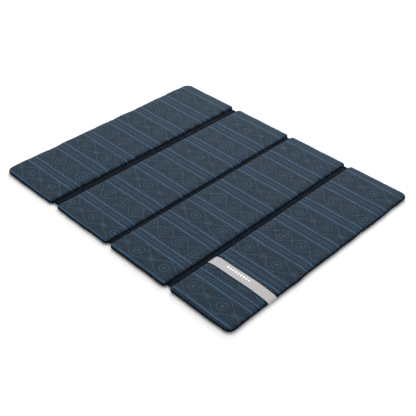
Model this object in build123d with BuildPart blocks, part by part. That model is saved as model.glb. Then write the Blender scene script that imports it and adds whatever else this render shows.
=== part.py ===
from build123d import *
import os

# Folding four-panel padded mat, lying open on its underside. Millimetres.
# X runs across the panels, Y along their long sides, +Z up. The origin is the
# centre of the footprint, on the surface that the mat lies on.

# Panels: four sealed foam pads side by side, joined by three sewn folds.
panel_length = 480.0
panel_widths = [142.0, 138.0, 134.0, 130.0]
panel_thickness = 10.0
panel_corner_radius = 10.0

# Folds: the distance across each seam, from one pad's edge to the next one's.
fold_gaps = [15.0, 8.2, 10.6]
fold_end_inset = 7.0
fold_clearance = 0.3

# Sewn layers.
cover_thickness = 0.6
foam_clearance = 0.2
thread_thickness = 0.4
seam_gap = 0.5
stitch_row_spacing = 3.0
stitch_row_width = 0.5
stitch_row_height = 0.3
stitch_row_end = 2.0

# Elastic strap, a closed loop round the last panel.
strap_width = 20.0
strap_thickness = 1.1
strap_centre_y = -142.0
strap_air = 0.2
strap_floor_air = 0.05
strap_side_air = 0.3
bartack_width = 16.0
bartack_height = 3.0
bartack_thickness = 0.25
strap_slot_depth = 2.5
strap_slot_margin = 1.0

middle_z = panel_thickness / 2
edge_radius = (panel_thickness - seam_gap) / 2
strap_standout = strap_air + strap_thickness
total_width = sum(panel_widths) + sum(fold_gaps) + strap_standout

# Left and right edge of every panel, from the far one to the one with the strap.
panel_edges = []
edge_x = -total_width / 2
for number, width in enumerate(panel_widths):
    panel_edges.append((edge_x, edge_x + width))
    if number < len(fold_gaps):
        edge_x += width + fold_gaps[number]

# Inside of the strap loop: it clears the cover by strap_air on top and at the
# sides, and lies in a shallow dent that it presses into the underside.
strap_left, strap_right = panel_edges[-1]
loop_bottom = strap_floor_air + strap_thickness
loop_top = panel_thickness + strap_air
loop_height = loop_top - loop_bottom
loop_width = strap_right - strap_left + 2 * strap_air
loop_centre = ((strap_left + strap_right) / 2, (loop_bottom + loop_top) / 2)
strap_front_y = strap_centre_y - strap_width / 2
dent_margin = 0.1
dent_reach = 10.0


def slab(left, right, inset):
    """A panel's outline shrunk by inset on every side, with fully rounded long and short edges."""
    with BuildPart() as body:
        with BuildSketch(Plane.XY.offset(inset)):
            with Locations(((left + right) / 2, 0)):
                RectangleRounded(
                    right - left - 2 * inset,
                    panel_length - 2 * inset,
                    panel_corner_radius - inset,
                )
        extrude(amount=panel_thickness - 2 * inset)
        rims = body.faces().sort_by(Axis.Z)[0].edges() + body.faces().sort_by(Axis.Z)[-1].edges()
        fillet(rims, radius=edge_radius - inset)
    return body.part


def strap_dent(inset):
    """What the strap squeezes away from panel 4: all that stands outside the loop's opening."""
    side = strap_side_air + inset
    with BuildPart() as dent:
        with BuildSketch(Plane.XZ.offset(-strap_front_y + side)):
            with Locations(loop_centre):
                Rectangle(loop_width + 2 * dent_reach, loop_height + 2 * dent_reach)
        extrude(amount=-(strap_width + 2 * side))
        with BuildSketch(Plane.XZ.offset(-strap_front_y + side)):
            with Locations(loop_centre):
                SlotOverall(loop_width - 2 * (inset + dent_margin), loop_height - 2 * (inset + dent_margin))
        extrude(amount=-(strap_width + 2 * side), mode=Mode.SUBTRACT)
    return dent.part


def pad(number, inset):
    """The solid inside of panel number at that depth under its surface, strap dent included."""
    left, right = panel_edges[number]
    body = slab(left, right, inset)
    if number == len(panel_widths) - 1:
        body = body - strap_dent(inset)
    return body


os.makedirs("parts", exist_ok=True)

for number, (left, right) in enumerate(panel_edges):
    name = f"panel_{number + 1}"
    outside = pad(number, 0)
    inside = pad(number, cover_thickness)

    # Upper and lower cover: shells that meet at the edge seam.
    with BuildPart() as top_cover:
        add(outside)
        add(inside, mode=Mode.SUBTRACT)
        split(bisect_by=Plane.XY.offset(middle_z + seam_gap / 2), keep=Keep.TOP)
    top_cover.part.label = f"{name}_top_cover"
    export_step(top_cover.part, f"parts/{name}_top_cover.step")

    with BuildPart() as bottom_cover:
        add(outside)
        add(inside, mode=Mode.SUBTRACT)
        split(bisect_by=Plane.XY.offset(middle_z - seam_gap / 2), keep=Keep.BOTTOM)
    bottom_cover.part.label = f"{name}_bottom_cover"
    export_step(bottom_cover.part, f"parts/{name}_bottom_cover.step")

    # Closing thread: a ring between the two covers' edges, all round the panel.
    thread_inset = (cover_thickness - thread_thickness) / 2
    with BuildPart() as edge_thread:
        with BuildSketch(Plane.XY.offset(middle_z - thread_thickness / 2)):
            with Locations(((left + right) / 2, 0)):
                RectangleRounded(
                    right - left - 2 * thread_inset,
                    panel_length - 2 * thread_inset,
                    panel_corner_radius - thread_inset,
                )
                RectangleRounded(
                    right - left - 2 * (thread_inset + thread_thickness),
                    panel_length - 2 * (thread_inset + thread_thickness),
                    panel_corner_radius - thread_inset - thread_thickness,
                    mode=Mode.SUBTRACT,
                )
        extrude(amount=thread_thickness)
    edge_thread.part.label = f"{name}_edge_stitching"
    export_step(edge_thread.part, f"parts/{name}_edge_stitching.step")

    # Foam core, loose inside the covers.
    foam = pad(number, cover_thickness + foam_clearance)
    foam.label = f"foam_core_{number + 1}"
    export_step(foam, f"parts/foam_core_{number + 1}.step")

for number, gap in enumerate(fold_gaps):
    name = f"fold_{number + 1}"
    web_left = panel_edges[number][1] + fold_clearance
    web_right = panel_edges[number + 1][0] - fold_clearance
    web_centre = (web_left + web_right) / 2
    web_length = panel_length - 2 * fold_end_inset
    has_strap_slot = number == len(fold_gaps) - 1

    # The two cover layers, sewn flat on each other between the pads.
    for layer, bottom_z in (("top_fabric", middle_z), ("bottom_fabric", middle_z - cover_thickness)):
        with BuildPart() as web:
            with BuildSketch(Plane.XY.offset(bottom_z)):
                with Locations((web_centre, 0)):
                    Rectangle(web_right - web_left, web_length)
                if has_strap_slot:
                    with Locations((panel_edges[number + 1][0] - strap_slot_depth / 2, strap_centre_y)):
                        Rectangle(strap_slot_depth, strap_width + 2 * strap_slot_margin, mode=Mode.SUBTRACT)
            extrude(amount=cover_thickness)
        web.part.label = f"{name}_{layer}"
        export_step(web.part, f"parts/{name}_{layer}.step")

    # Two rows of stitching along the fold, on the upper layer.
    with BuildPart() as stitching:
        with BuildSketch(Plane.XY.offset(middle_z + cover_thickness)):
            with Locations((web_centre, 0)):
                with GridLocations(stitch_row_spacing, 0, 2, 1):
                    Rectangle(stitch_row_width, web_length - 2 * stitch_row_end)
        extrude(amount=stitch_row_height)
    stitching.part.label = f"{name}_stitching"
    export_step(stitching.part, f"parts/{name}_stitching.step")

# Elastic strap: a closed band round panel 4, through the slot in the last fold.
with BuildPart() as elastic_strap:
    with BuildSketch(Plane.XZ.offset(-strap_front_y)):
        with Locations(loop_centre):
            SlotOverall(loop_width + 2 * strap_thickness, loop_height + 2 * strap_thickness)
            SlotOverall(loop_width, loop_height, mode=Mode.SUBTRACT)
    extrude(amount=-strap_width)
elastic_strap.part.label = "elastic_strap"
export_step(elastic_strap.part, "parts/elastic_strap.step")

# Bartack that joins the strap's two ends, on its face in the fold.
tack_x = strap_left - strap_standout
with BuildPart() as strap_bartack:
    with BuildSketch(Plane.YZ.offset(tack_x - bartack_thickness)):
        with Locations((strap_centre_y, loop_centre[1])):
            Rectangle(bartack_width, bartack_height)
    extrude(amount=bartack_thickness)
strap_bartack.part.label = "strap_bartack"
export_step(strap_bartack.part, "parts/strap_bartack.step")
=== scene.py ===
import math

import bpy
import numpy as np
from mathutils import Matrix, Vector


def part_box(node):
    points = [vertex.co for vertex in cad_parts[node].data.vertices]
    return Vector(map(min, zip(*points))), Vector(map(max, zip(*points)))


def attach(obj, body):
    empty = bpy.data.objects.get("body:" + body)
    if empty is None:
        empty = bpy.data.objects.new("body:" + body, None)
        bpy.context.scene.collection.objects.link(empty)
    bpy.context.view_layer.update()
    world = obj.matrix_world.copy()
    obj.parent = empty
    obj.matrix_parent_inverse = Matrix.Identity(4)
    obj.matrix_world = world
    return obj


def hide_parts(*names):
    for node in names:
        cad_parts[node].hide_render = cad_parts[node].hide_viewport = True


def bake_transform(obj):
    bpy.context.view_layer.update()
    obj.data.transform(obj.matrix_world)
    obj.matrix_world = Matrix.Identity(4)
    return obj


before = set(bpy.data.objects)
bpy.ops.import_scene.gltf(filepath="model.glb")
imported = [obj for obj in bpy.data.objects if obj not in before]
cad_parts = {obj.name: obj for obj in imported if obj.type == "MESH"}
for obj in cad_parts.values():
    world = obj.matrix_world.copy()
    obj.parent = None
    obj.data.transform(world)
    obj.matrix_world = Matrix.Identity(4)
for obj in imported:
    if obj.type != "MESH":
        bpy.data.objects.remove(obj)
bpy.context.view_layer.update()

# Folding four-panel padded mat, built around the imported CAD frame. Metres, Z up.
MM = 0.001

PANELS = (1, 2, 3, 4)
FOLDS = (1, 2, 3)
STRAP_PANEL = 4
COVER = 0.6 * MM
CORNER = 10 * MM


def span(node, axis):
    low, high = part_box(node)
    return low[axis], high[axis]


FLOOR_Z = span("panel_1_bottom_cover", 2)[0]
TOP_Z = span("panel_1_top_cover", 2)[1]
MID_Z = (FLOOR_Z + TOP_Z) / 2
HALF = TOP_Z - MID_Z
END_Y = span("panel_1_top_cover", 1)[1]
PAD_X = {n: span(f"panel_{n}_top_cover", 0) for n in PANELS}
STRAP_Y = span("elastic_strap", 1)
STRAP_Z = span("elastic_strap", 2)
WEB_Y = span("fold_1_top_fabric", 1)[1]

# ------------------------------------------------------------------ camera
scene = bpy.context.scene
AZIMUTH, ELEVATION, ROLL = (math.radians(a) for a in (-46.47, 38.12, 1.43))
DISTANCE = 1.3392
TARGET = Vector((0.0566, -0.0478, MID_Z))

out = Vector((math.cos(ELEVATION) * math.cos(AZIMUTH), math.cos(ELEVATION) * math.sin(AZIMUTH), math.sin(ELEVATION)))
level = (-out).cross(Vector((0, 0, 1))).normalized()
above = level.cross(-out).normalized()
right = math.cos(ROLL) * level + math.sin(ROLL) * above
up = math.cos(ROLL) * above - math.sin(ROLL) * level
place = TARGET + DISTANCE * out
camera = bpy.data.objects.new("camera", bpy.data.cameras.new("camera"))
camera.matrix_world = Matrix([[right[k], up[k], out[k], place[k]] for k in range(3)] + [[0, 0, 0, 1]])
camera.data.sensor_width = 36
camera.data.lens = 65.1
scene.collection.objects.link(camera)
scene.camera = camera


# ---------------------------------------------------------- shader helpers
class Num:
    """A number inside a shader tree, so that patterns can be written as plain sums."""

    def __init__(self, tree, socket):
        self.tree, self.socket = tree, socket

    def op(self, kind, *others):
        node = self.tree.nodes.new("ShaderNodeMath")
        node.operation = kind
        for slot, value in zip(node.inputs, (self, *others)):
            if isinstance(value, Num):
                self.tree.links.new(value.socket, slot)
            else:
                slot.default_value = value
        return Num(self.tree, node.outputs[0])

    def __add__(self, other):
        return self.op("ADD", other)

    def __sub__(self, other):
        return self.op("SUBTRACT", other)

    def __mul__(self, other):
        return self.op("MULTIPLY", other)

    def __truediv__(self, other):
        return self.op("DIVIDE", other)

    def __abs__(self):
        return self.op("ABSOLUTE")

    def sin(self):
        return self.op("SINE")

    def most(self, other):
        return self.op("MAXIMUM", other)

    def least(self, other):
        return self.op("MINIMUM", other)

    def repeat(self, period):
        """Distance from the nearest multiple of period."""
        return abs((self + period / 2).op("FLOORED_MODULO", period) - period / 2)

    def near(self, place, half_width, soft=0.35):
        """1 within half_width of place, fading to 0 over soft."""
        return ((abs(self - place) * -1 + (half_width + soft / 2)) / soft).least(1.0).most(0.0)

    def length(self, other):
        return (self * self + other * other).op("SQRT")


def new_material(name):
    material = bpy.data.materials.new(name)
    material.use_nodes = True
    tree = material.node_tree
    return material, tree, tree.nodes["Principled BSDF"]


def cloth_place(tree):
    """The two cloth coordinates of a woven piece, in millimetres along the cloth."""
    attribute = tree.nodes.new("ShaderNodeAttribute")
    attribute.attribute_name = "cloth"
    split = tree.nodes.new("ShaderNodeSeparateXYZ")
    tree.links.new(attribute.outputs["Vector"], split.inputs[0])
    vector = attribute.outputs["Vector"]
    return Num(tree, split.outputs[0]) * 1000, Num(tree, split.outputs[1]) * 1000, vector


def noise(tree, vector, scale, detail=2.0, stretch=None, roughness=0.5):
    """Noise over a vector in metres, with features about 1 / scale metres wide."""
    if stretch:
        mapping = tree.nodes.new("ShaderNodeMapping")
        mapping.inputs["Scale"].default_value = stretch
        tree.links.new(vector, mapping.inputs["Vector"])
        vector = mapping.outputs["Vector"]
    node = tree.nodes.new("ShaderNodeTexNoise")
    node.inputs["Scale"].default_value = scale
    node.inputs["Detail"].default_value = detail
    node.inputs["Roughness"].default_value = roughness
    tree.links.new(vector, node.inputs["Vector"])
    return Num(tree, node.outputs["Fac"])


def mix_colour(tree, share, first, second):
    node = tree.nodes.new("ShaderNodeMix")
    node.data_type = "RGBA"
    for slot, value in ((node.inputs[0], share), (node.inputs[6], first), (node.inputs[7], second)):
        if isinstance(value, Num):
            tree.links.new(value.socket, slot)
        elif isinstance(value, bpy.types.NodeSocket):
            tree.links.new(value, slot)
        elif isinstance(value, tuple):
            slot.default_value = (*value, 1)
        else:
            slot.default_value = value
    return node.outputs[2]


def add_bump(tree, shader, height, distance, strength=1.0):
    bump = tree.nodes.new("ShaderNodeBump")
    bump.inputs["Distance"].default_value = distance
    bump.inputs["Strength"].default_value = strength
    tree.links.new(height.socket, bump.inputs["Height"])
    tree.links.new(bump.outputs["Normal"], shader.inputs["Normal"])


# --------------------------------------------------------------- materials
# Places in the print, in millimetres of cloth. It is stretched a little towards both ends of the panels.
MARK_ALONG = -9.0
STRETCH_FAR, STRETCH_NEAR = (60.0, 0.065), (-180.0, 0.045)
REPEAT = 132.8
WIDE_PAIR_V = 15.9
WIDE_HALF = 10.6
NARROW_HALF = 8.6
BAND_MIDDLE = (WIDE_HALF + REPEAT / 2 - NARROW_HALF) / 2


def stripe_print(tree, across, along):
    """The lines that run across the panels: (bright lines, faint ladder between them, place in the repeat)."""
    from_wide = (along - WIDE_PAIR_V).repeat(REPEAT)
    from_narrow = from_wide * -1 + REPEAT / 2
    lines = from_wide.near(WIDE_HALF, 0.85, 0.6).most(from_narrow.near(NARROW_HALF, 0.85, 0.6))
    rungs = across.repeat(4.4).near(0.0, 0.8, 0.5)
    rows = from_wide.near(0.0, 3.4).most(from_narrow.near(0.0, 2.8))
    rails = from_wide.near(7.4, 0.35).most(from_narrow.near(5.4, 0.35)) * (across + 2.2).repeat(4.4).near(0.0, 0.8)
    return lines, (rungs * rows).most(rails), from_wide


def motif_print(tree, across, along, from_wide):
    """Dotted lozenges, rings and waves in the bands between the lines."""
    b = from_wide - BAND_MIDDLE
    upper = ((along - WIDE_PAIR_V).op("FLOORED_MODULO", REPEAT)).op("LESS_THAN", REPEAT / 2)
    a = across.repeat(61.0)
    lozenge = a / 30.5 + abs(b) / 19.5
    first = lozenge.near(1.0, 0.034, 0.03).most(a.length(b).near(8.5, 0.65)).most(a.length(b).near(2.0, 0.9))
    joint = (across - 30.5).repeat(61.0)
    star = (joint * abs(b)).near(0.0, 3.0, 2.5) * joint.length(b).near(5.5, 3.5)
    first = first.most(star).most((across.repeat(9.5) * 0.6 + abs(b)).near(21.6, 0.45))
    wave = (across * (2 * math.pi / 74.0)).sin() * 14.0
    ring = (across - 18.5).repeat(37.0).length(b * 0.9)
    second = (b - wave).near(0.0, 0.8).most((b + wave).near(0.0, 0.8))
    second = second.most(ring.near(7.4, 0.6)).most(ring.near(1.2, 0.9))
    second = second.most((across.repeat(12.0) * -0.8 + abs(b)).near(17.2, 0.45))
    inside = abs(b).op("LESS_THAN", 22.3)
    return (upper * first + (upper * -1 + 1.0) * second) * inside


def cover_material():
    """Printed dark navy polyester: heathered weave, blue lines, dotted motifs, and painted shade that darkens it to
    near black where it dips into a seam.
    """
    material, tree, shader = new_material("printed_cover")
    across, along, vector = cloth_place(tree)
    painted_shade_node = tree.nodes.new("ShaderNodeAttribute")
    painted_shade_node.attribute_name = "painted_shade"
    painted_shade = Num(tree, painted_shade_node.outputs["Fac"])
    drift = noise(tree, vector, 14.0, 2.0) - 0.5
    (far_start, far_share), (near_start, near_share) = STRETCH_FAR, STRETCH_NEAR
    shorter = (along - far_start).most(0.0) * far_share
    printed_along = along - shorter + (along - near_start).least(0.0) * near_share + drift * 4.0
    lines, ladder, from_wide = stripe_print(tree, across, printed_along)
    sway = noise(tree, vector, 38.0, 1.0) - 0.5
    motif = motif_print(tree, across + sway * 10.0, printed_along + sway * 7.0, from_wide + sway * 6.0)
    dots = ((across * (math.pi / 1.15)).sin() * (along * (math.pi / 1.15)).sin()).op("GREATER_THAN", -0.2)

    # Heathered yarns: short streaks along both thread directions, in slate and teal patches.
    warp = noise(tree, vector, 520.0, 3.0, (1.0, 0.22, 1.0), 0.65)
    weft = noise(tree, vector, 520.0, 3.0, (0.22, 1.0, 1.0), 0.65)
    heather = (warp + weft - 0.80) * 2.1
    patches = noise(tree, vector, 24.0, 3.0)
    yarn = mix_colour(tree, heather.least(1.0).most(0.0), (0.0035, 0.008, 0.0165), (0.027, 0.043, 0.067))
    teal = (patches * 1.5 - 0.35).least(1.0).most(0.0) * 0.5
    toned = mix_colour(tree, teal, yarn, (0.010, 0.030, 0.047))
    worn_fine = (noise(tree, vector, 190.0, 3.0) * 1.1 + 0.3).least(1.0)
    worn = worn_fine * (noise(tree, vector, 31.0, 2.0) * 1.5 + 0.2).least(1.0)
    with_motif = mix_colour(tree, motif * dots * worn * 0.85, toned, (0.046, 0.112, 0.180))
    with_ladder = mix_colour(tree, ladder * worn * 0.6, with_motif, (0.042, 0.108, 0.185))
    printed = mix_colour(tree, lines * worn * 0.95, with_ladder, (0.048, 0.130, 0.238))
    # Painted shade: the print is mixed towards near-black navy where the cloth dips into a seam, over the folds' webs
    # and by the strap, standing in for the shadow there.
    with_painted_shade = mix_colour(tree, painted_shade * 0.93, printed, (0.0010, 0.0022, 0.0045))
    tree.links.new(with_painted_shade, shader.inputs["Base Color"])

    # Plain weave with a rib along the warp, a little proud where the print lies.
    weave = (across * (2 * math.pi / 0.9)).sin() * (along * (2 * math.pi / 0.9)).sin()
    crumple = noise(tree, vector, 60.0, 3.0)
    height = weave * 0.10 + warp * 0.25 + crumple * 1.2 + lines * 0.10
    add_bump(tree, shader, height, 0.0011, 0.55)
    rough = (heather * 0.12 + 0.78) - lines * 0.10
    tree.links.new(rough.least(0.95).most(0.5).socket, shader.inputs["Roughness"])
    # Specular and sheen are turned down in the same painted shade.
    tree.links.new((painted_shade * -0.13 + 0.16).socket, shader.inputs["Specular IOR Level"])
    tree.links.new((painted_shade * -0.05 + 0.06).most(0.0).socket, shader.inputs["Sheen Weight"])
    shader.inputs["Sheen Roughness"].default_value = 0.45
    shader.inputs["Sheen Tint"].default_value = (0.75, 0.85, 1.0, 1.0)
    return material


def foam_material():
    """Closed-cell foam: pale grey, with small cells and a slight skin."""
    material, tree, shader = new_material("closed_cell_foam")
    place = tree.nodes.new("ShaderNodeTexCoord").outputs["Object"]
    cells = tree.nodes.new("ShaderNodeTexVoronoi")
    cells.feature = "DISTANCE_TO_EDGE"
    cells.inputs["Scale"].default_value = 900.0
    tree.links.new(place, cells.inputs["Vector"])
    wall = Num(tree, cells.outputs["Distance"])
    cloud = noise(tree, place, 60.0, 3.0)
    tone = mix_colour(tree, (wall * 2.4).least(1.0), (0.50, 0.51, 0.53), (0.74, 0.75, 0.76))
    tinted = mix_colour(tree, cloud * 0.5, tone, (0.62, 0.64, 0.68))
    tree.links.new(tinted, shader.inputs["Base Color"])
    add_bump(tree, shader, (wall * 2.0).least(0.6) + cloud * 0.5, 0.0006, 0.6)
    tree.links.new((cloud * 0.2 + 0.7).socket, shader.inputs["Roughness"])
    return material


def strap_material():
    """Woven elastic: light warm grey, cords along it, fine ribs across it, a plain printed row of lozenges."""
    material, tree, shader = new_material("strap_elastic")
    along, across, vector = cloth_place(tree)
    cords = ((across * (2 * math.pi / 1.25)).sin() * 0.5 + 0.5)
    ribs = ((along * (2 * math.pi / 0.9)).sin() * 0.5 + 0.5)
    fuzz = noise(tree, vector, 700.0, 3.0)
    grime = noise(tree, vector, 45.0, 3.0)
    level = cords * 0.35 + ribs * 0.35 + fuzz * 0.5
    yarn = mix_colour(tree, level.least(1.0), (0.30, 0.285, 0.29), (0.56, 0.54, 0.55))
    used = mix_colour(tree, (grime * 1.6 - 0.45).least(1.0).most(0.0) * 0.35, yarn, (0.33, 0.32, 0.34))
    lozenge = (along - MARK_ALONG).repeat(5.6) / 2.3 + abs(across - 2.7) / 3.3
    row = lozenge.op("LESS_THAN", 1.0) * abs(along - MARK_ALONG).op("LESS_THAN", 25.2)
    marked = mix_colour(tree, row * 0.95, used, (0.88, 0.89, 0.90))
    tree.links.new(marked, shader.inputs["Base Color"])
    add_bump(tree, shader, cords * 0.5 + ribs * 0.55 + fuzz * 0.4, 0.00035, 0.8)
    tree.links.new((fuzz * 0.2 + 0.62).socket, shader.inputs["Roughness"])
    shader.inputs["Sheen Weight"].default_value = 0.12
    shader.inputs["Sheen Roughness"].default_value = 0.5
    return material


def thread_material(name, dark, light):
    """Twisted polyester thread."""
    material, tree, shader = new_material(name)
    place = tree.nodes.new("ShaderNodeTexCoord").outputs["Object"]
    split = tree.nodes.new("ShaderNodeSeparateXYZ")
    tree.links.new(place, split.inputs[0])
    x, y, z = (Num(tree, socket) * 1000 for socket in split.outputs)
    twist = ((x + y * 0.8 + z * 1.3) * (2 * math.pi / 0.55)).sin() * 0.5 + 0.5
    fluff = noise(tree, place, 1500.0, 2.0)
    colour = mix_colour(tree, twist * 0.7 + fluff * 0.3, dark, light)
    tree.links.new(colour, shader.inputs["Base Color"])
    add_bump(tree, shader, twist + fluff * 0.4, 0.0001, 0.7)
    tree.links.new((fluff * 0.25 + 0.4).socket, shader.inputs["Roughness"])
    return material


# ------------------------------------------------------------- pad shapes
# A pad's height over its mid-plane rises from the seam to full height over the shoulder's width.
SHOULDER = {"end": (11 * MM, 2.5), "free": (15 * MM, 2.5), "crisp": (7 * MM, 2.4), "soft": (10 * MM, 2.3)}
UNDER = (8 * MM, 2.4)
# The pads start a little low, and Cloth blows them up by 0.55 mm at most.
LOW_START = 0.95
PRESSURE = 0.06
CLOTH_FRAMES = 20
FAR_CORNER, NEAR_CORNER, FOLD_CORNER = 17 * MM, 13 * MM, 7 * MM
GATHER = {1: 2.6 * MM, 2: 1.2 * MM, 3: 1.9 * MM}
UNDER_GATHER = 0.6 * MM
FOLD_BULGE = 0.35 * MM
STRAP_DENT = 1.45 * MM
STRAP_BEND = {"free": (44 * MM, 1.8), "crisp": (22 * MM, 2.0)}


def rise(distance, width, power):
    """Share of full height at that distance from the seam."""
    left = np.clip(1 - distance / width, 0, 1)
    return (1 - left**power) ** (1 / power)


def corner_radii(n, inset=0.0):
    """Plan radius of the pad's corners, by (left or right, near or far)."""
    left = FAR_CORNER if n == PANELS[0] else FOLD_CORNER
    right = NEAR_CORNER if n == PANELS[-1] else FOLD_CORNER
    return np.array([[left, left], [right, right]]) - inset


def line_places(low, high, step):
    """Grid lines between two edges: close together at the edges, step apart in the middle."""
    edge = np.array([0, 0.35, 1.0, 2.1, 3.7, 6.2]) * MM
    count = int(round((high - low - 2 * CORNER) / step))
    middle = np.linspace(low + CORNER, high - CORNER, count + 1)
    return np.concatenate([low + edge, middle, high - edge[::-1]])


def rounded(xs, ys, x_range, y_range, radii):
    """The grid's plan points, with its four square corners drawn in to round ones."""
    x, y = np.meshgrid(xs, ys, indexing="ij")
    plan = np.stack([x, y], axis=-1)
    for i, sx in enumerate((-1, 1)):
        for j, sy in enumerate((-1, 1)):
            radius = radii[i, j]
            centre = np.array([x_range[i] - sx * radius, y_range[j] - sy * radius])
            p = (x - centre[0]) * sx / radius
            q = (y - centre[1]) * sy / radius
            inside = (p > 0) & (q > 0)
            round_x = centre[0] + sx * radius * p * np.sqrt(np.clip(1 - q * q / 2, 0, 1))
            round_y = centre[1] + sy * radius * q * np.sqrt(np.clip(1 - p * p / 2, 0, 1))
            plan[..., 0] = np.where(inside, round_x, plan[..., 0])
            plan[..., 1] = np.where(inside, round_y, plan[..., 1])
    return plan


def edge_facts(plan, x_range, y_range, radii):
    """For each plan point: distance from the outline, outward direction, and how much of it is each side."""
    x, y = plan[..., 0], plan[..., 1]
    gaps = {"left": x - x_range[0], "right": x_range[1] - x, "near": y - y_range[0], "far": y_range[1] - y}
    radius = radii[(gaps["right"] < gaps["left"]).astype(int), (gaps["far"] < gaps["near"]).astype(int)]
    px = np.maximum(radius - np.minimum(gaps["left"], gaps["right"]), 0)
    py = np.maximum(radius - np.minimum(gaps["near"], gaps["far"]), 0)
    straight = np.minimum.reduce(list(gaps.values()))
    in_corner = (px > 0) & (py > 0)
    distance = np.maximum(np.where(in_corner, radius - np.hypot(px, py), straight), 0)
    weights = np.stack([np.exp(-np.clip(g, 0, None) / (4 * MM)) for g in gaps.values()], axis=-1)
    weights = weights / np.maximum(weights.sum(-1, keepdims=True), 1e-12)
    outward = np.stack([weights[..., 1] - weights[..., 0], weights[..., 3] - weights[..., 2]], axis=-1)
    outward = outward / np.maximum(np.linalg.norm(outward, axis=-1, keepdims=True), 1e-9)
    return distance, outward, weights


def smooth_step(values, low, high):
    t = np.clip((values - low) / (high - low), 0, 1)
    return t * t * (3 - 2 * t)


def waves(places, lengths, seed):
    """A sum of sine waves of those lengths with seeded phases and sizes, from about -1 to 1."""
    draw = np.random.default_rng(seed)
    total = np.zeros_like(places)
    for length in lengths:
        total = total + draw.uniform(0.5, 1.0) * np.sin(2 * math.pi * places / length + draw.uniform(0, 6.3))
    return total / len(lengths) ** 0.5


def outline_sway(n, side, places):
    """How far the seam of that side stands out from the straight outline."""
    seed = 100 * n + {"left": 1, "right": 2, "near": 3, "far": 4}[side]
    kind = side_kind(n, side)
    size, low = {"free": (0.8, 0.3), "end": (0.5, 0.3), "crisp": (0.12, 0.1), "soft": (0.25, 0.15)}[kind]
    lengths = (0.049, 0.073, 0.118, 0.21) if side in ("left", "right") else (0.047, 0.071, 0.12)
    fade = 1.0
    if side in ("left", "right"):
        fade = 1 - 0.7 * smooth_step(np.abs(places), END_Y - 24 * MM, END_Y - 8 * MM)
    return (size * waves(places, lengths, seed) * fade - low) * MM


def side_kind(n, side):
    if side in ("near", "far"):
        return "end"
    if (n == PANELS[0] and side == "left") or (n == PANELS[-1] and side == "right"):
        return "free"
    return "soft" if side == "right" else "crisp"


SIDES = ("left", "right", "near", "far")


def pad_grids(n):
    """Top and bottom surface of panel n as grids of points, their cloth coordinates, and edge facts."""
    x_range, y_range, radii = PAD_X[n], (-END_Y, END_Y), corner_radii(n)
    xs = line_places(*x_range, 5.2 * MM)
    ys = line_places(*y_range, 4.6 * MM)
    plan = rounded(xs, ys, x_range, y_range, radii)
    distance, outward, weights = edge_facts(plan, x_range, y_range, radii)
    top_share = np.zeros_like(distance)
    for k, side in enumerate(SIDES):
        top_share += weights[..., k] * rise(distance, *SHOULDER[side_kind(n, side)])
    under_share = rise(distance, *UNDER)
    sway = np.zeros_like(distance)
    for k, side in enumerate(SIDES):
        places = plan[..., 1] if side in ("left", "right") else plan[..., 0]
        sway += weights[..., k] * outline_sway(n, side, places)
    rolling = waves(plan[..., 1] + 0.35 * plan[..., 0], (0.061, 0.094, 0.17), 7 * n + 5)
    moved = plan + outward * (sway * np.exp(-distance / (12 * MM)))[..., None]
    grids = []
    for sign, share in ((1, top_share), (-1, under_share)):
        z = MID_Z + sign * share * HALF
        if sign > 0:
            z = z + 0.14 * MM * rolling * share
        grid = np.concatenate([moved, z[..., None]], axis=-1)
        # Cloth coordinates: the plan, plus what the cloth's slope adds on its way to the seam.
        fine = np.linspace(0, 26 * MM, 400)
        width, power = SHOULDER["crisp"] if sign > 0 else UNDER
        slope = np.hypot(np.diff(fine), np.diff(rise(fine, width, power) * HALF))
        extra = np.concatenate([np.cumsum((slope - np.diff(fine))[::-1])[::-1], [0]])
        cloth = np.zeros_like(grid)
        cloth[..., :2] = plan + outward * np.interp(distance, fine, extra)[..., None]
        grids += [grid, cloth]
    return *grids, distance, outward, weights


def gather_depth(n, side, places, sign):
    """How far the cloth is drawn in, in tucks, along the shoulder of that side."""
    kind = side_kind(n, side)
    size = {"soft": GATHER.get(n, 0), "crisp": 0.3 * MM, "free": 0.7 * MM, "end": 0.55 * MM}[kind]
    if sign < 0:
        size = min(size, UNDER_GATHER)
    seed = 1000 * n + 10 * SIDES.index(side) + (1 if sign > 0 else 2)
    phase = math.pi * places / (12.5 * MM) + 2.2 * waves(places, (0.041, 0.083, 0.15), seed)
    uneven = 0.65 + 0.35 * waves(places, (0.055, 0.13), seed + 5)
    return size * np.clip(uneven, 0.15, 1.1) * (1 - np.abs(np.sin(phase))) ** 1.3


def gather(n, grid, sign, distance, outward, weights):
    """Draws the shoulder in at the tucks that the closing seam pulls."""
    drawn = np.zeros_like(distance)
    for k, side in enumerate(SIDES):
        places = grid[..., 1] if side in ("left", "right") else grid[..., 0]
        drawn += weights[..., k] * gather_depth(n, side, places, sign)
    band = np.clip(distance / (0.7 * MM), 0, 1) * np.exp(-((distance / (6.5 * MM)) ** 2))
    grid[..., :2] -= outward * (drawn * band)[..., None]
    grid[..., 2] -= sign * 0.45 * drawn * band
    return grid


def grid_faces(rows, columns, flip=False, first=0):
    i, j = np.meshgrid(np.arange(rows - 1), np.arange(columns - 1), indexing="ij")
    a = (i * columns + j + first).ravel()
    corners = np.stack([a, a + columns, a + columns + 1, a + 1], axis=1)
    return corners[:, ::-1] if flip else corners


def rim_index(rows, columns):
    """The grid's outer loop of vertices, in order."""
    bottom = [(i, 0) for i in range(rows)]
    right_side = [(rows - 1, j) for j in range(1, columns)]
    top = [(i, columns - 1) for i in range(rows - 2, -1, -1)]
    left_side = [(0, j) for j in range(columns - 2, 0, -1)]
    return np.array([i * columns + j for i, j in bottom + right_side + top + left_side])


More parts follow.
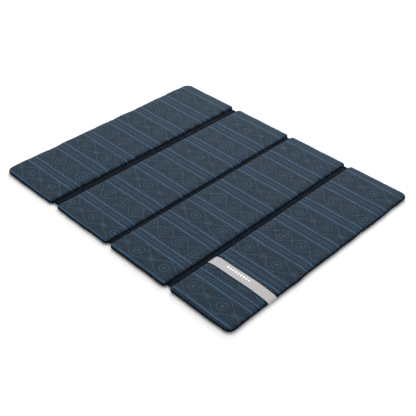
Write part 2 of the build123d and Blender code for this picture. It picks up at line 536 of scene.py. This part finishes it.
def make_object(name, points, faces, cloth=None, material=None, painted_shade=None):
    mesh = bpy.data.meshes.new(name)
    mesh.from_pydata([tuple(p) for p in points], [], [tuple(int(k) for k in f) for f in faces])
    if cloth is not None:
        attribute = mesh.attributes.new("cloth", "FLOAT_VECTOR", "POINT")
        attribute.data.foreach_set("vector", np.asarray(cloth, np.float32).ravel())
    if painted_shade is not None:
        attribute = mesh.attributes.new("painted_shade", "FLOAT", "POINT")
        attribute.data.foreach_set("value", np.asarray(painted_shade, np.float32).ravel())
    mesh.polygons.foreach_set("use_smooth", [True] * len(mesh.polygons))
    mesh.update()
    made = bpy.data.objects.new(name, mesh)
    scene.collection.objects.link(made)
    if material:
        mesh.materials.append(material)
    return made


def closed_pad(top, under):
    """Points and faces of the closed body between two grids that share their rim, and which points are inner."""
    rows, columns = top.shape[:2]
    count = rows * columns
    rim = rim_index(rows, columns)
    inner = np.setdiff1d(np.arange(count), rim)
    renumber = np.zeros(count, int)
    renumber[rim] = rim
    renumber[inner] = count + np.arange(len(inner))
    points = np.concatenate([top.reshape(-1, 3), under.reshape(-1, 3)[inner]])
    faces = np.concatenate([grid_faces(rows, columns), renumber[grid_faces(rows, columns, flip=True)]])
    return points, faces, inner


def simulate_swelling(n, top, under):
    """Blows the closed pad up a little with Cloth, held along its seam, and returns both grids."""
    rows, columns = top.shape[:2]
    count = rows * columns
    points, faces, inner = closed_pad(top, under)
    pad = make_object(f"swelling_{n}", points, faces)
    held = pad.vertex_groups.new(name="seam")
    held.add([int(k) for k in rim_index(rows, columns)], 1.0, "REPLACE")
    cloth = pad.modifiers.new("Cloth", "CLOTH")
    settings = cloth.settings
    settings.quality = 5
    settings.mass = 0.3
    settings.tension_stiffness = settings.compression_stiffness = 18
    settings.shear_stiffness = 6
    settings.bending_stiffness = 0.4
    settings.use_pressure = True
    settings.uniform_pressure_force = PRESSURE
    settings.vertex_group_mass = "seam"
    settings.effector_weights.gravity = 0
    cloth.collision_settings.use_self_collision = False
    cloth.point_cache.frame_start, cloth.point_cache.frame_end = 1, CLOTH_FRAMES
    for frame_number in range(1, CLOTH_FRAMES + 1):
        scene.frame_set(frame_number)
    evaluated = pad.evaluated_get(bpy.context.evaluated_depsgraph_get())
    swollen = np.zeros(len(points) * 3)
    evaluated.data.vertices.foreach_get("co", swollen)
    swollen = swollen.reshape(-1, 3)
    bpy.data.objects.remove(pad)
    scene.frame_set(1)
    new_top = swollen[:count].reshape(top.shape)
    new_under = new_top.reshape(-1, 3).copy()
    new_under[inner] = swollen[count:]
    return new_top, new_under.reshape(top.shape)


def refine(grid):
    """Doubles a grid's lines both ways along smooth curves."""
    for axis in (0, 1):
        grid = np.moveaxis(grid, axis, 0)
        before = np.concatenate([2 * grid[:1] - grid[1:2], grid[:-2]])
        after = np.concatenate([grid[2:], 2 * grid[-1:] - grid[-2:-1]])
        middle = (9 * (grid[:-1] + grid[1:]) - before - after) / 16
        woven = np.empty((2 * len(grid) - 1, *grid.shape[1:]))
        woven[0::2], woven[1::2] = grid, middle
        grid = np.moveaxis(woven, 0, axis)
    return grid


def under_strap(y, margin, ramp):
    """1 where the strap presses, fading to 0 on either side of it."""
    rising = smooth_step(y, STRAP_Y[0] - margin - ramp, STRAP_Y[0] - margin)
    falling = smooth_step(y, STRAP_Y[1] + margin, STRAP_Y[1] + margin + ramp)
    return rising * (1 - falling)


def painted_strap_shadow(y):
    """Painted shadow of the strap: 1 on the cloth that the strap covers, and just past its -Y edge."""
    rising = smooth_step(y, STRAP_Y[0] - 2.8 * MM, STRAP_Y[0] - 0.6 * MM)
    return rising * (1 - smooth_step(y, STRAP_Y[1] - 3 * MM, STRAP_Y[1] - 0.8 * MM))


def strap_limit(x):
    """Height that the strap presses the top of the pad down to."""
    near_side = rise(PAD_X[STRAP_PANEL][1] - x, *STRAP_BEND["free"])
    far_side = rise(x - PAD_X[STRAP_PANEL][0], *STRAP_BEND["crisp"])
    return MID_Z + (HALF - 0.35 * MM) * np.minimum(near_side, far_side)


def fit_to_frame(n, top, under, clear=0.0):
    """Keeps a pad's surfaces on the floor, under its crown, out of the folds, and clear of the strap."""
    crown = HALF * 1.05 - clear
    top[..., 2] = np.minimum(top[..., 2], MID_Z + crown)
    under[..., 2] = np.maximum(under[..., 2], FLOOR_Z + clear)
    for grid in (top, under):
        if n != PANELS[0]:
            grid[..., 0] = np.maximum(grid[..., 0], PAD_X[n][0] - FOLD_BULGE)
        if n != PANELS[-1]:
            grid[..., 0] = np.minimum(grid[..., 0], PAD_X[n][1] + FOLD_BULGE)
    if n == STRAP_PANEL:
        press = under_strap(top[..., 1], 0.3 * MM, 7 * MM)
        top[..., 2] -= press * np.maximum(top[..., 2] - (strap_limit(top[..., 0]) - clear), 0)
        press = under_strap(under[..., 1], 0.3 * MM, 4 * MM)
        under[..., 2] += press * np.maximum(FLOOR_Z + STRAP_DENT + clear - under[..., 2], 0)
        for grid in (top, under):
            press = under_strap(grid[..., 1], 0.3 * MM, 5 * MM)
            for sign, edge in ((1, PAD_X[n][1]), (-1, PAD_X[n][0])):
                beyond = np.maximum(sign * (grid[..., 0] - edge) + 0.05 * MM, 0)
                grid[..., 0] -= sign * press * beyond
    return top, under


def grid_normals(grid):
    along_rows = np.gradient(grid, axis=0)
    along_columns = np.gradient(grid, axis=1)
    normal = np.cross(along_rows, along_columns)
    return normal / np.maximum(np.linalg.norm(normal, axis=-1, keepdims=True), 1e-12)


def shell_mesh(name, outer_points, inner_points, cloth, painted_shade, keep, material):
    """A closed sheet between two grids of points, kept cells only. Outer faces point away from the inner ones."""
    rows, columns = outer_points.shape[:2]
    count = rows * columns
    faces = grid_faces(rows, columns)[keep.ravel()]
    middle = faces[len(faces) // 2]
    flat = outer_points.reshape(-1, 3)
    facing = np.cross(flat[middle[1]] - flat[middle[0]], flat[middle[3]] - flat[middle[0]])
    if facing @ (flat[middle[0]] - inner_points.reshape(-1, 3)[middle[0]]) < 0:
        faces = faces[:, ::-1]
    edges = np.concatenate([np.stack([faces[:, k], faces[:, (k + 1) % 4]], axis=1) for k in range(4)])
    both_ways = {(int(a), int(b)) for a, b in edges}
    border = np.array([(a, b) for a, b in both_ways if (b, a) not in both_ways])
    border = border[np.lexsort((border[:, 1], border[:, 0]))]
    walls = np.stack([border[:, 1], border[:, 0], border[:, 0] + count, border[:, 1] + count], axis=1)
    every = np.concatenate([faces, faces[:, ::-1] + count, walls])
    used, renumbered = np.unique(every, return_inverse=True)
    points = np.concatenate([flat, inner_points.reshape(-1, 3)])[used]
    return make_object(name, points, renumbered.reshape(every.shape), np.concatenate([cloth.reshape(-1, 3)] * 2)[used],
                       material, np.concatenate([painted_shade.ravel()] * 2)[used])


def all_cells(grid):
    return np.ones((grid.shape[0] - 1, grid.shape[1] - 1), bool)


# ------------------------------------------------------ covers and cores
PRINT_SHIFT = {1: 0.3 * MM, 2: 0.9 * MM, 3: 0.0, 4: -4.0 * MM}
SEAM_HALF_GAP = 0.22 * MM
FOAM_AIR = 0.4 * MM
cover_cloth = cover_material()
foam = foam_material()
seam_grids = {}


def foam_pad(n, top, under, distance, weights):
    """The core that fills the covers, a little inside them all round."""
    room = COVER + FOAM_AIR
    deepest = np.zeros_like(distance)
    for k, side in enumerate(SIDES):
        tucks = gather_depth(n, side, np.linspace(-END_Y, END_Y, 2000), 1)
        deepest += weights[..., k] * max(float(tucks.max()), UNDER_GATHER)
    inset = room + deepest * np.exp(-((distance / (7.5 * MM)) ** 2))
    layers = []
    for grid, sign in ((top, 1), (under, -1)):
        normal = grid_normals(grid)
        normal = normal * np.sign(normal[normal.shape[0] // 2, normal.shape[1] // 2, 2]) * sign
        layers.append(grid - normal * inset[..., None])
    seam = distance < 1e-9
    layers[0][seam] = (layers[0][seam] + layers[1][seam]) / 2
    layers[0], layers[1] = fit_to_frame(n, layers[0], layers[1], room)
    points, faces, _ = closed_pad(*layers)
    core = make_object(f"foam_pad_{n}", points, faces, material=foam)
    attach(core, f"panel_{n}")
    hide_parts(f"foam_core_{n}")


for n in PANELS:
    top, top_cloth, under, under_cloth, distance, outward, weights = pad_grids(n)
    for grid in (top, under):
        grid[..., 2] = MID_Z + (grid[..., 2] - MID_Z) * LOW_START
    top, under = simulate_swelling(n, top, under)
    foam_pad(n, top, under, distance, weights)
    top, under, top_cloth, under_cloth = (refine(grid) for grid in (top, under, top_cloth, under_cloth))
    distance, outward, weights = (refine(fact) for fact in (distance, outward, weights))
    distance = np.maximum(distance, 0)
    top = gather(n, top, 1, distance, outward, weights)
    under = gather(n, under, -1, distance, outward, weights)
    top, under = fit_to_frame(n, top, under)
    seam_grids[n] = top.copy()
    for cloth in (top_cloth, under_cloth):
        cloth[..., 1] += PRINT_SHIFT[n]
    for side, grid, cloth, sign in (("top", top, top_cloth, 1), ("bottom", under, under_cloth, -1)):
        away = np.abs(grid[..., 2] - MID_Z)
        # Painted shade: 1 at the seam, fading out as the cloth rises to full height.
        painted_shade = 1 - smooth_step(away / HALF, 0.22, 0.78)
        # Painted shadow: the top of panel 4 is darkened under the strap and along its -Y edge.
        if n == STRAP_PANEL and sign > 0:
            painted_shade = np.maximum(painted_shade, 0.8 * painted_strap_shadow(grid[..., 1]))
        grid[..., 2] += sign * SEAM_HALF_GAP * np.clip(1 - away / (1.5 * MM), 0, 1)
        normal = grid_normals(grid)
        normal = normal * np.sign(normal[normal.shape[0] // 2, normal.shape[1] // 2, 2]) * sign
        inside = grid - normal * COVER
        piece = shell_mesh(f"panel_{n}_{side}_cloth", grid, inside, cloth, painted_shade, all_cells(grid), cover_cloth)
        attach(piece, f"panel_{n}")
        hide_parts(f"panel_{n}_{side}_cover")

# ------------------------------------------------------------ fold seams
ROW_SPACING = 3 * MM
NOTCH_DEPTH = 2.6 * MM
NOTCH_MARGIN = 0.9 * MM
TUCK = 0.25 * MM
FILLET = 0.5 * MM
WRAP = 3.6 * MM  # allowed for the way round a shoulder; the shoulders as shaped take 2.2 to 2.8 mm


def web_ripple(n, y):
    return 0.2 * MM * waves(y, (0.019, 0.031, 0.052), 50 + n)


def web_middle(n):
    return (PAD_X[n][1] + PAD_X[n + 1][0]) / 2


def fold_flap(n, layer, half):
    """Half of one cloth of a fold, from a pad's seam to the middle of the fold."""
    sign = 1 if layer == "top" else -1
    middle = web_middle(n)
    beside_strap = n + 1 == STRAP_PANEL and half == "near"
    ys = np.linspace(-WEB_Y, WEB_Y, 117)
    notch = (STRAP_Y[0] - NOTCH_MARGIN, STRAP_Y[1] + NOTCH_MARGIN)
    if beside_strap:
        for edge in notch:
            ys[np.argmin(np.abs(ys - edge))] = edge
    if half == "far":
        start, swayed = PAD_X[n][1], PAD_X[n][1] + outline_sway(n, "right", ys) - TUCK
    else:
        start, swayed = PAD_X[n + 1][0], PAD_X[n + 1][0] - outline_sway(n + 1, "left", ys) + TUCK
    reach = abs(middle - start)
    steps = np.array([0, 0.35, 0.8, 1.5, NOTCH_DEPTH / MM]) * MM
    steps = np.concatenate([steps, np.linspace(NOTCH_DEPTH, reach, 5)[1:]])
    share = steps / reach
    x = swayed[None, :] * (1 - share[:, None]) + middle * share[:, None]
    y = np.repeat(ys[None, :], len(steps), axis=0)
    settle = smooth_step(steps, 0, min(reach, 4 * MM))[:, None]
    ripple = web_ripple(n, ys)[None, :] * settle
    lip = FILLET * np.exp(-steps / (0.9 * MM))[:, None]
    outer = np.stack([x, y, MID_Z + ripple + sign * (COVER + lip)], axis=-1)
    inner = np.stack([x, y, MID_Z + ripple + sign * 0.01 * MM + 0 * x], axis=-1)
    cloth = np.zeros_like(outer)
    # Painted shade: the fold's webs are darkened fully, to near black, as the shadow in the groove.
    painted_shade = np.ones_like(x)
    cloth[..., 0] = x + (WRAP if half == "far" else -WRAP)
    cloth[..., 1] = y + PRINT_SHIFT[n if half == "far" else n + 1]
    keep = all_cells(outer)
    if beside_strap:
        between = (ys[:-1] + ys[1:]) / 2
        in_notch = (between > notch[0]) & (between < notch[1])
        keep[:4, in_notch] = False
    piece = shell_mesh(f"fold_{n}_{layer}_{half}_half", outer, inner, cloth, painted_shade, keep, cover_cloth)
    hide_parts(f"fold_{n}_{layer}_fabric")
    bend = min(3 * MM, reach - ROW_SPACING / 2 - 0.2 * MM)
    if half == "far":
        start - 0.5 * MM
        start + bend
        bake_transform(piece)
    else:
        f"panel_{n + 1}"
        start - bend
        start + 0.5 * MM
        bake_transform(piece)
    return piece


flaps = {}
for n in FOLDS:
    for layer in ("top", "bottom"):
        for half in ("far", "near"):
            flaps[n, layer, half] = fold_flap(n, layer, half)


# ---------------------------------------------------------------- thread
def stitch_tubes(name, stitches, radius, lift, material, sides=6):
    """One short bowed thread for each (start, end, outward) in stitches, as one mesh."""
    bow = np.linspace(0, 1, 6)
    points, faces = [], []
    angles = np.arange(sides) * 2 * math.pi / sides
    for start, end, outward in stitches:
        start, end, outward = (np.array(v, float) for v in (start, end, outward))
        run = end - start
        ahead = run / np.linalg.norm(run)
        outward = outward - ahead * (outward @ ahead)
        outward = outward / np.linalg.norm(outward)
        beside = np.cross(ahead, outward)
        first = len(points)
        for t in bow:
            centre = start + run * t + outward * lift * math.sin(math.pi * t)
            thin = radius * (0.62 + 0.38 * math.sin(math.pi * t) ** 0.5)
            for a in angles:
                points.append(centre + thin * (math.cos(a) * beside + math.sin(a) * outward))
        for ring in range(len(bow) - 1):
            for k in range(sides):
                a = first + ring * sides + k
                b = first + ring * sides + (k + 1) % sides
                faces.append((a, a + sides, b + sides, b))
        faces.append(tuple(first + k for k in range(sides)))
        faces.append(tuple(first + (len(bow) - 1) * sides + k for k in reversed(range(sides))))
    return make_object(name, points, faces, material=material)


navy_thread = thread_material("navy_thread", (0.006, 0.011, 0.020), (0.030, 0.050, 0.082))
grey_thread = thread_material("grey_thread", (0.22, 0.21, 0.22), (0.52, 0.50, 0.51))
THREAD = 0.21 * MM
STITCH, STITCH_PITCH = 3.1 * MM, 4.0 * MM

for n in FOLDS:
    stitches = []
    starts = np.arange(-WEB_Y + 3 * MM, WEB_Y - 3 * MM - STITCH, STITCH_PITCH)
    for row in (-1, 1):
        x = web_middle(n) + row * ROW_SPACING / 2
        for y in starts:
            for sign in (-1, 1):
                low = MID_Z + sign * (COVER + 0.3 * THREAD)
                ends = [(x, at, low + web_ripple(n, np.array([at]))[0]) for at in (y, y + STITCH)]
                stitches.append((*ends, (0, 0, sign)))
    rows = stitch_tubes(f"fold_{n}_stitch_rows", stitches, THREAD, 0.18 * MM, navy_thread)
    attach(rows, f"fold_{n}")
    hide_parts(f"fold_{n}_stitching")

EDGE_PITCH = 4.2 * MM
for n in PANELS:
    top = seam_grids[n]
    rows, columns = top.shape[:2]
    loop = top.reshape(-1, 3)[rim_index(rows, columns)]
    loop = np.concatenate([loop, loop[:1]])
    walked = np.concatenate([[0], np.cumsum(np.linalg.norm(np.diff(loop, axis=0), axis=1))])
    stitches = []
    for at in np.arange(0, walked[-1] - EDGE_PITCH / 2, EDGE_PITCH):
        here = np.array([np.interp(at, walked, loop[:, k]) for k in range(3)])
        ahead = np.array([np.interp(at + 1 * MM, walked, loop[:, k]) for k in range(3)]) - here
        outward = np.cross(ahead, (0, 0, 1.0))
        outward = outward / np.linalg.norm(outward)
        in_fold = abs(outward[0]) > 0.8 and abs(here[1]) < WEB_Y + 2 * MM
        outer_side = (n == 1 and outward[0] < 0) or (n == STRAP_PANEL and outward[0] > 0)
        if in_fold and not outer_side:
            continue
        out_a_little = outward * 0.08 * MM
        upper = here + out_a_little + np.array([0, 0, 0.8 * MM])
        lower = here + out_a_little + ahead * 1.1 - np.array([0, 0, 0.8 * MM])
        stitches.append((upper, lower, outward))
    edge = stitch_tubes(f"panel_{n}_edge_stitches", stitches, 0.17 * MM, 0.16 * MM, navy_thread)
    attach(edge, f"panel_{n}")
    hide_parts(f"panel_{n}_edge_stitching")

# ----------------------------------------------------------------- strap
STRAP_THICK = 1.0 * MM
STRAP_AIR = 0.22 * MM
strap_x = span("elastic_strap", 0)
pad_left, pad_right = PAD_X[STRAP_PANEL]


def strap_loop():
    """Centre line of the strap round panel 4, as evenly spaced (x, z) points from the top middle."""
    half_width = (pad_right - pad_left) / 2
    h = np.concatenate([np.linspace(0, 3, 25), np.linspace(3, 24, 40)[1:], np.linspace(24, half_width / MM, 20)[1:]]) * MM
    away = STRAP_THICK / 2 + STRAP_AIR
    under = np.maximum(MID_Z - HALF * rise(h, *UNDER), FLOOR_Z + STRAP_DENT)
    near_top = strap_limit(pad_right - h)
    far_top = strap_limit(pad_left + h)
    path = np.concatenate([
        np.stack([pad_right - h, near_top], axis=1)[::-1],
        np.stack([pad_right - h, under], axis=1)[1:],
        np.stack([pad_left + h, under], axis=1)[::-1][1:],
        np.stack([pad_left + h, far_top], axis=1)[1:-1],
    ])
    ahead = np.roll(path, -1, axis=0) - np.roll(path, 1, axis=0)
    ahead = ahead / np.linalg.norm(ahead, axis=1, keepdims=True)
    path = path + np.stack([-ahead[:, 1], ahead[:, 0]], axis=1) * away
    for _ in range(3):
        closed = np.concatenate([path, path[:1]])
        walked = np.concatenate([[0], np.cumsum(np.linalg.norm(np.diff(closed, axis=0), axis=1))])
        places = np.linspace(0, walked[-1], 301)[:-1]
        path = np.stack([np.interp(places, walked, closed[:, k]) for k in range(2)], axis=1)
        for _ in range(2):
            path = (np.roll(path, 1, axis=0) + 2 * path + np.roll(path, -1, axis=0)) / 4
    path[:, 0] = np.clip(path[:, 0], strap_x[0] + STRAP_THICK / 2, strap_x[1] - STRAP_THICK / 2)
    path[:, 1] = np.maximum(path[:, 1], STRAP_Z[0] + STRAP_THICK / 2)
    return path, walked[-1]


def build_strap():
    path, length = strap_loop()
    count = len(path)
    ahead = np.roll(path, -1, axis=0) - np.roll(path, 1, axis=0)
    ahead = ahead / np.linalg.norm(ahead, axis=1, keepdims=True)
    outward = np.stack([-ahead[:, 1], ahead[:, 0]], axis=1)
    if outward[0, 1] < 0:
        outward = -outward
    half = (STRAP_Y[1] - STRAP_Y[0]) / 2
    centre_y = (STRAP_Y[0] + STRAP_Y[1]) / 2
    across = np.linspace(-half + 0.25 * MM, half - 0.25 * MM, 61)
    edge = np.clip((half - np.abs(across)) / (1.2 * MM), 0, 1)
    thick = STRAP_THICK / 2 * (0.82 + 0.18 * edge**0.5) + 0.05 * MM * np.cos(2 * math.pi * across / (1.9 * MM))
    section = np.concatenate([
        np.stack([across, thick], axis=1),
        [[half, 0.2 * MM], [half, -0.2 * MM]],
        np.stack([across, -thick], axis=1)[::-1],
        [[-half, -0.2 * MM], [-half, 0.2 * MM]],
    ])
    along = np.arange(count) * length / count
    along = np.where(along > length / 2, along - length, along)
    wander = 0.22 * MM * np.sin(2 * math.pi * np.arange(count) / count * 3 + 0.6)
    points = np.zeros((count, len(section), 3))
    points[..., 0] = path[:, None, 0] + outward[:, None, 0] * section[None, :, 1]
    points[..., 1] = centre_y + section[None, :, 0] + wander[:, None]
    points[..., 2] = path[:, None, 1] + outward[:, None, 1] * section[None, :, 1]
    points[..., 1] = np.clip(points[..., 1], *STRAP_Y)
    points[..., 2] = np.maximum(points[..., 2], STRAP_Z[0])
    cloth = np.zeros_like(points)
    cloth[..., 0] = along[:, None]
    cloth[..., 1] = section[None, :, 0]
    size = len(section)
    faces = []
    for i in range(count):
        here, ahead_ring = i * size, (i + 1) % count * size
        for j in range(size):
            k = (j + 1) % size
            faces.append((here + j, here + k, ahead_ring + k, ahead_ring + j))
    piece = make_object("elastic_band", points.reshape(-1, 3), faces, cloth.reshape(-1, 3), strap_material())
    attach(piece, f"panel_{STRAP_PANEL}")
    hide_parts("elastic_strap")
    return path, piece


strap_path, strap = build_strap()

tack_low, tack_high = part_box("strap_bartack")
tack_x = float(strap_path[:, 0].min()) - STRAP_THICK / 2 - 0.05 * MM
tack = []
zigzags = 26
for k in range(zigzags):
    y = tack_low.y + (tack_high.y - tack_low.y) * k / zigzags
    step = (tack_high.y - tack_low.y) / zigzags
    ends = (tack_low.z, tack_high.z) if k % 2 else (tack_high.z, tack_low.z)
    tack.append(((tack_x, y, ends[0]), (tack_x, y + step, ends[1]), (-1, 0, 0)))
for z in (tack_low.z + 0.5 * MM, tack_high.z - 0.5 * MM):
    for y in np.arange(tack_low.y, tack_high.y - 2 * MM, 2 * MM):
        tack.append(((tack_x, y, z), (tack_x, y + 1.9 * MM, z), (-1, 0, 0)))
bartack = stitch_tubes("strap_bartack_zigzag", tack, 0.12 * MM, 0.08 * MM, grey_thread)
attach(bartack, f"panel_{STRAP_PANEL}")
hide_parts("strap_bartack")

# Every cover is a cloth stretched over its foam core; the fold halves beside it are listed here, but not attached to
# it.
for n in PANELS:
    for layer in ("top", "bottom"):
        with_it = [flaps[k, layer, half] for k, half in ((n - 1, "near"), (n, "far")) if k in FOLDS]

# ------------------------------------------------------------------ stage
floor = make_object("floor", [(-4, -4, FLOOR_Z), (4, -4, FLOOR_Z), (4, 4, FLOOR_Z), (-4, 4, FLOOR_Z)], [(0, 1, 2, 3)])
material, tree, shader = new_material("floor")
place = tree.nodes.new("ShaderNodeTexCoord").outputs["Object"]
tone = mix_colour(tree, noise(tree, place, 3.0, 2.0), (0.88, 0.88, 0.88), (0.90, 0.90, 0.90))
tree.links.new(tone, shader.inputs["Base Color"])
shader.inputs["Roughness"].default_value = 0.9
floor.data.materials.append(material)

world = bpy.data.worlds.new("studio")
world.use_nodes = True
world.node_tree.nodes["Background"].inputs["Color"].default_value = (1.0, 1.0, 1.0, 1)
world.node_tree.nodes["Background"].inputs["Strength"].default_value = 0.72
scene.world = world


def area_light(name, place, towards, size, power):
    data = bpy.data.lights.new(name, "AREA")
    data.shape = "SQUARE"
    data.size = size
    data.energy = power
    light = bpy.data.objects.new(name, data)
    light.location = place
    light.rotation_mode = "QUATERNION"
    light.rotation_quaternion = (Vector(towards) - Vector(place)).to_track_quat("-Z", "Y")
    scene.collection.objects.link(light)


area_light("overhead", (-0.5, 0.5, 1.9), (0, 0, 0), 1.8, 24)
area_light("rear", (-1.2, 2.0, 1.1), (0, 0, 0), 0.9, 28)
scene.view_settings.view_transform = "Standard"
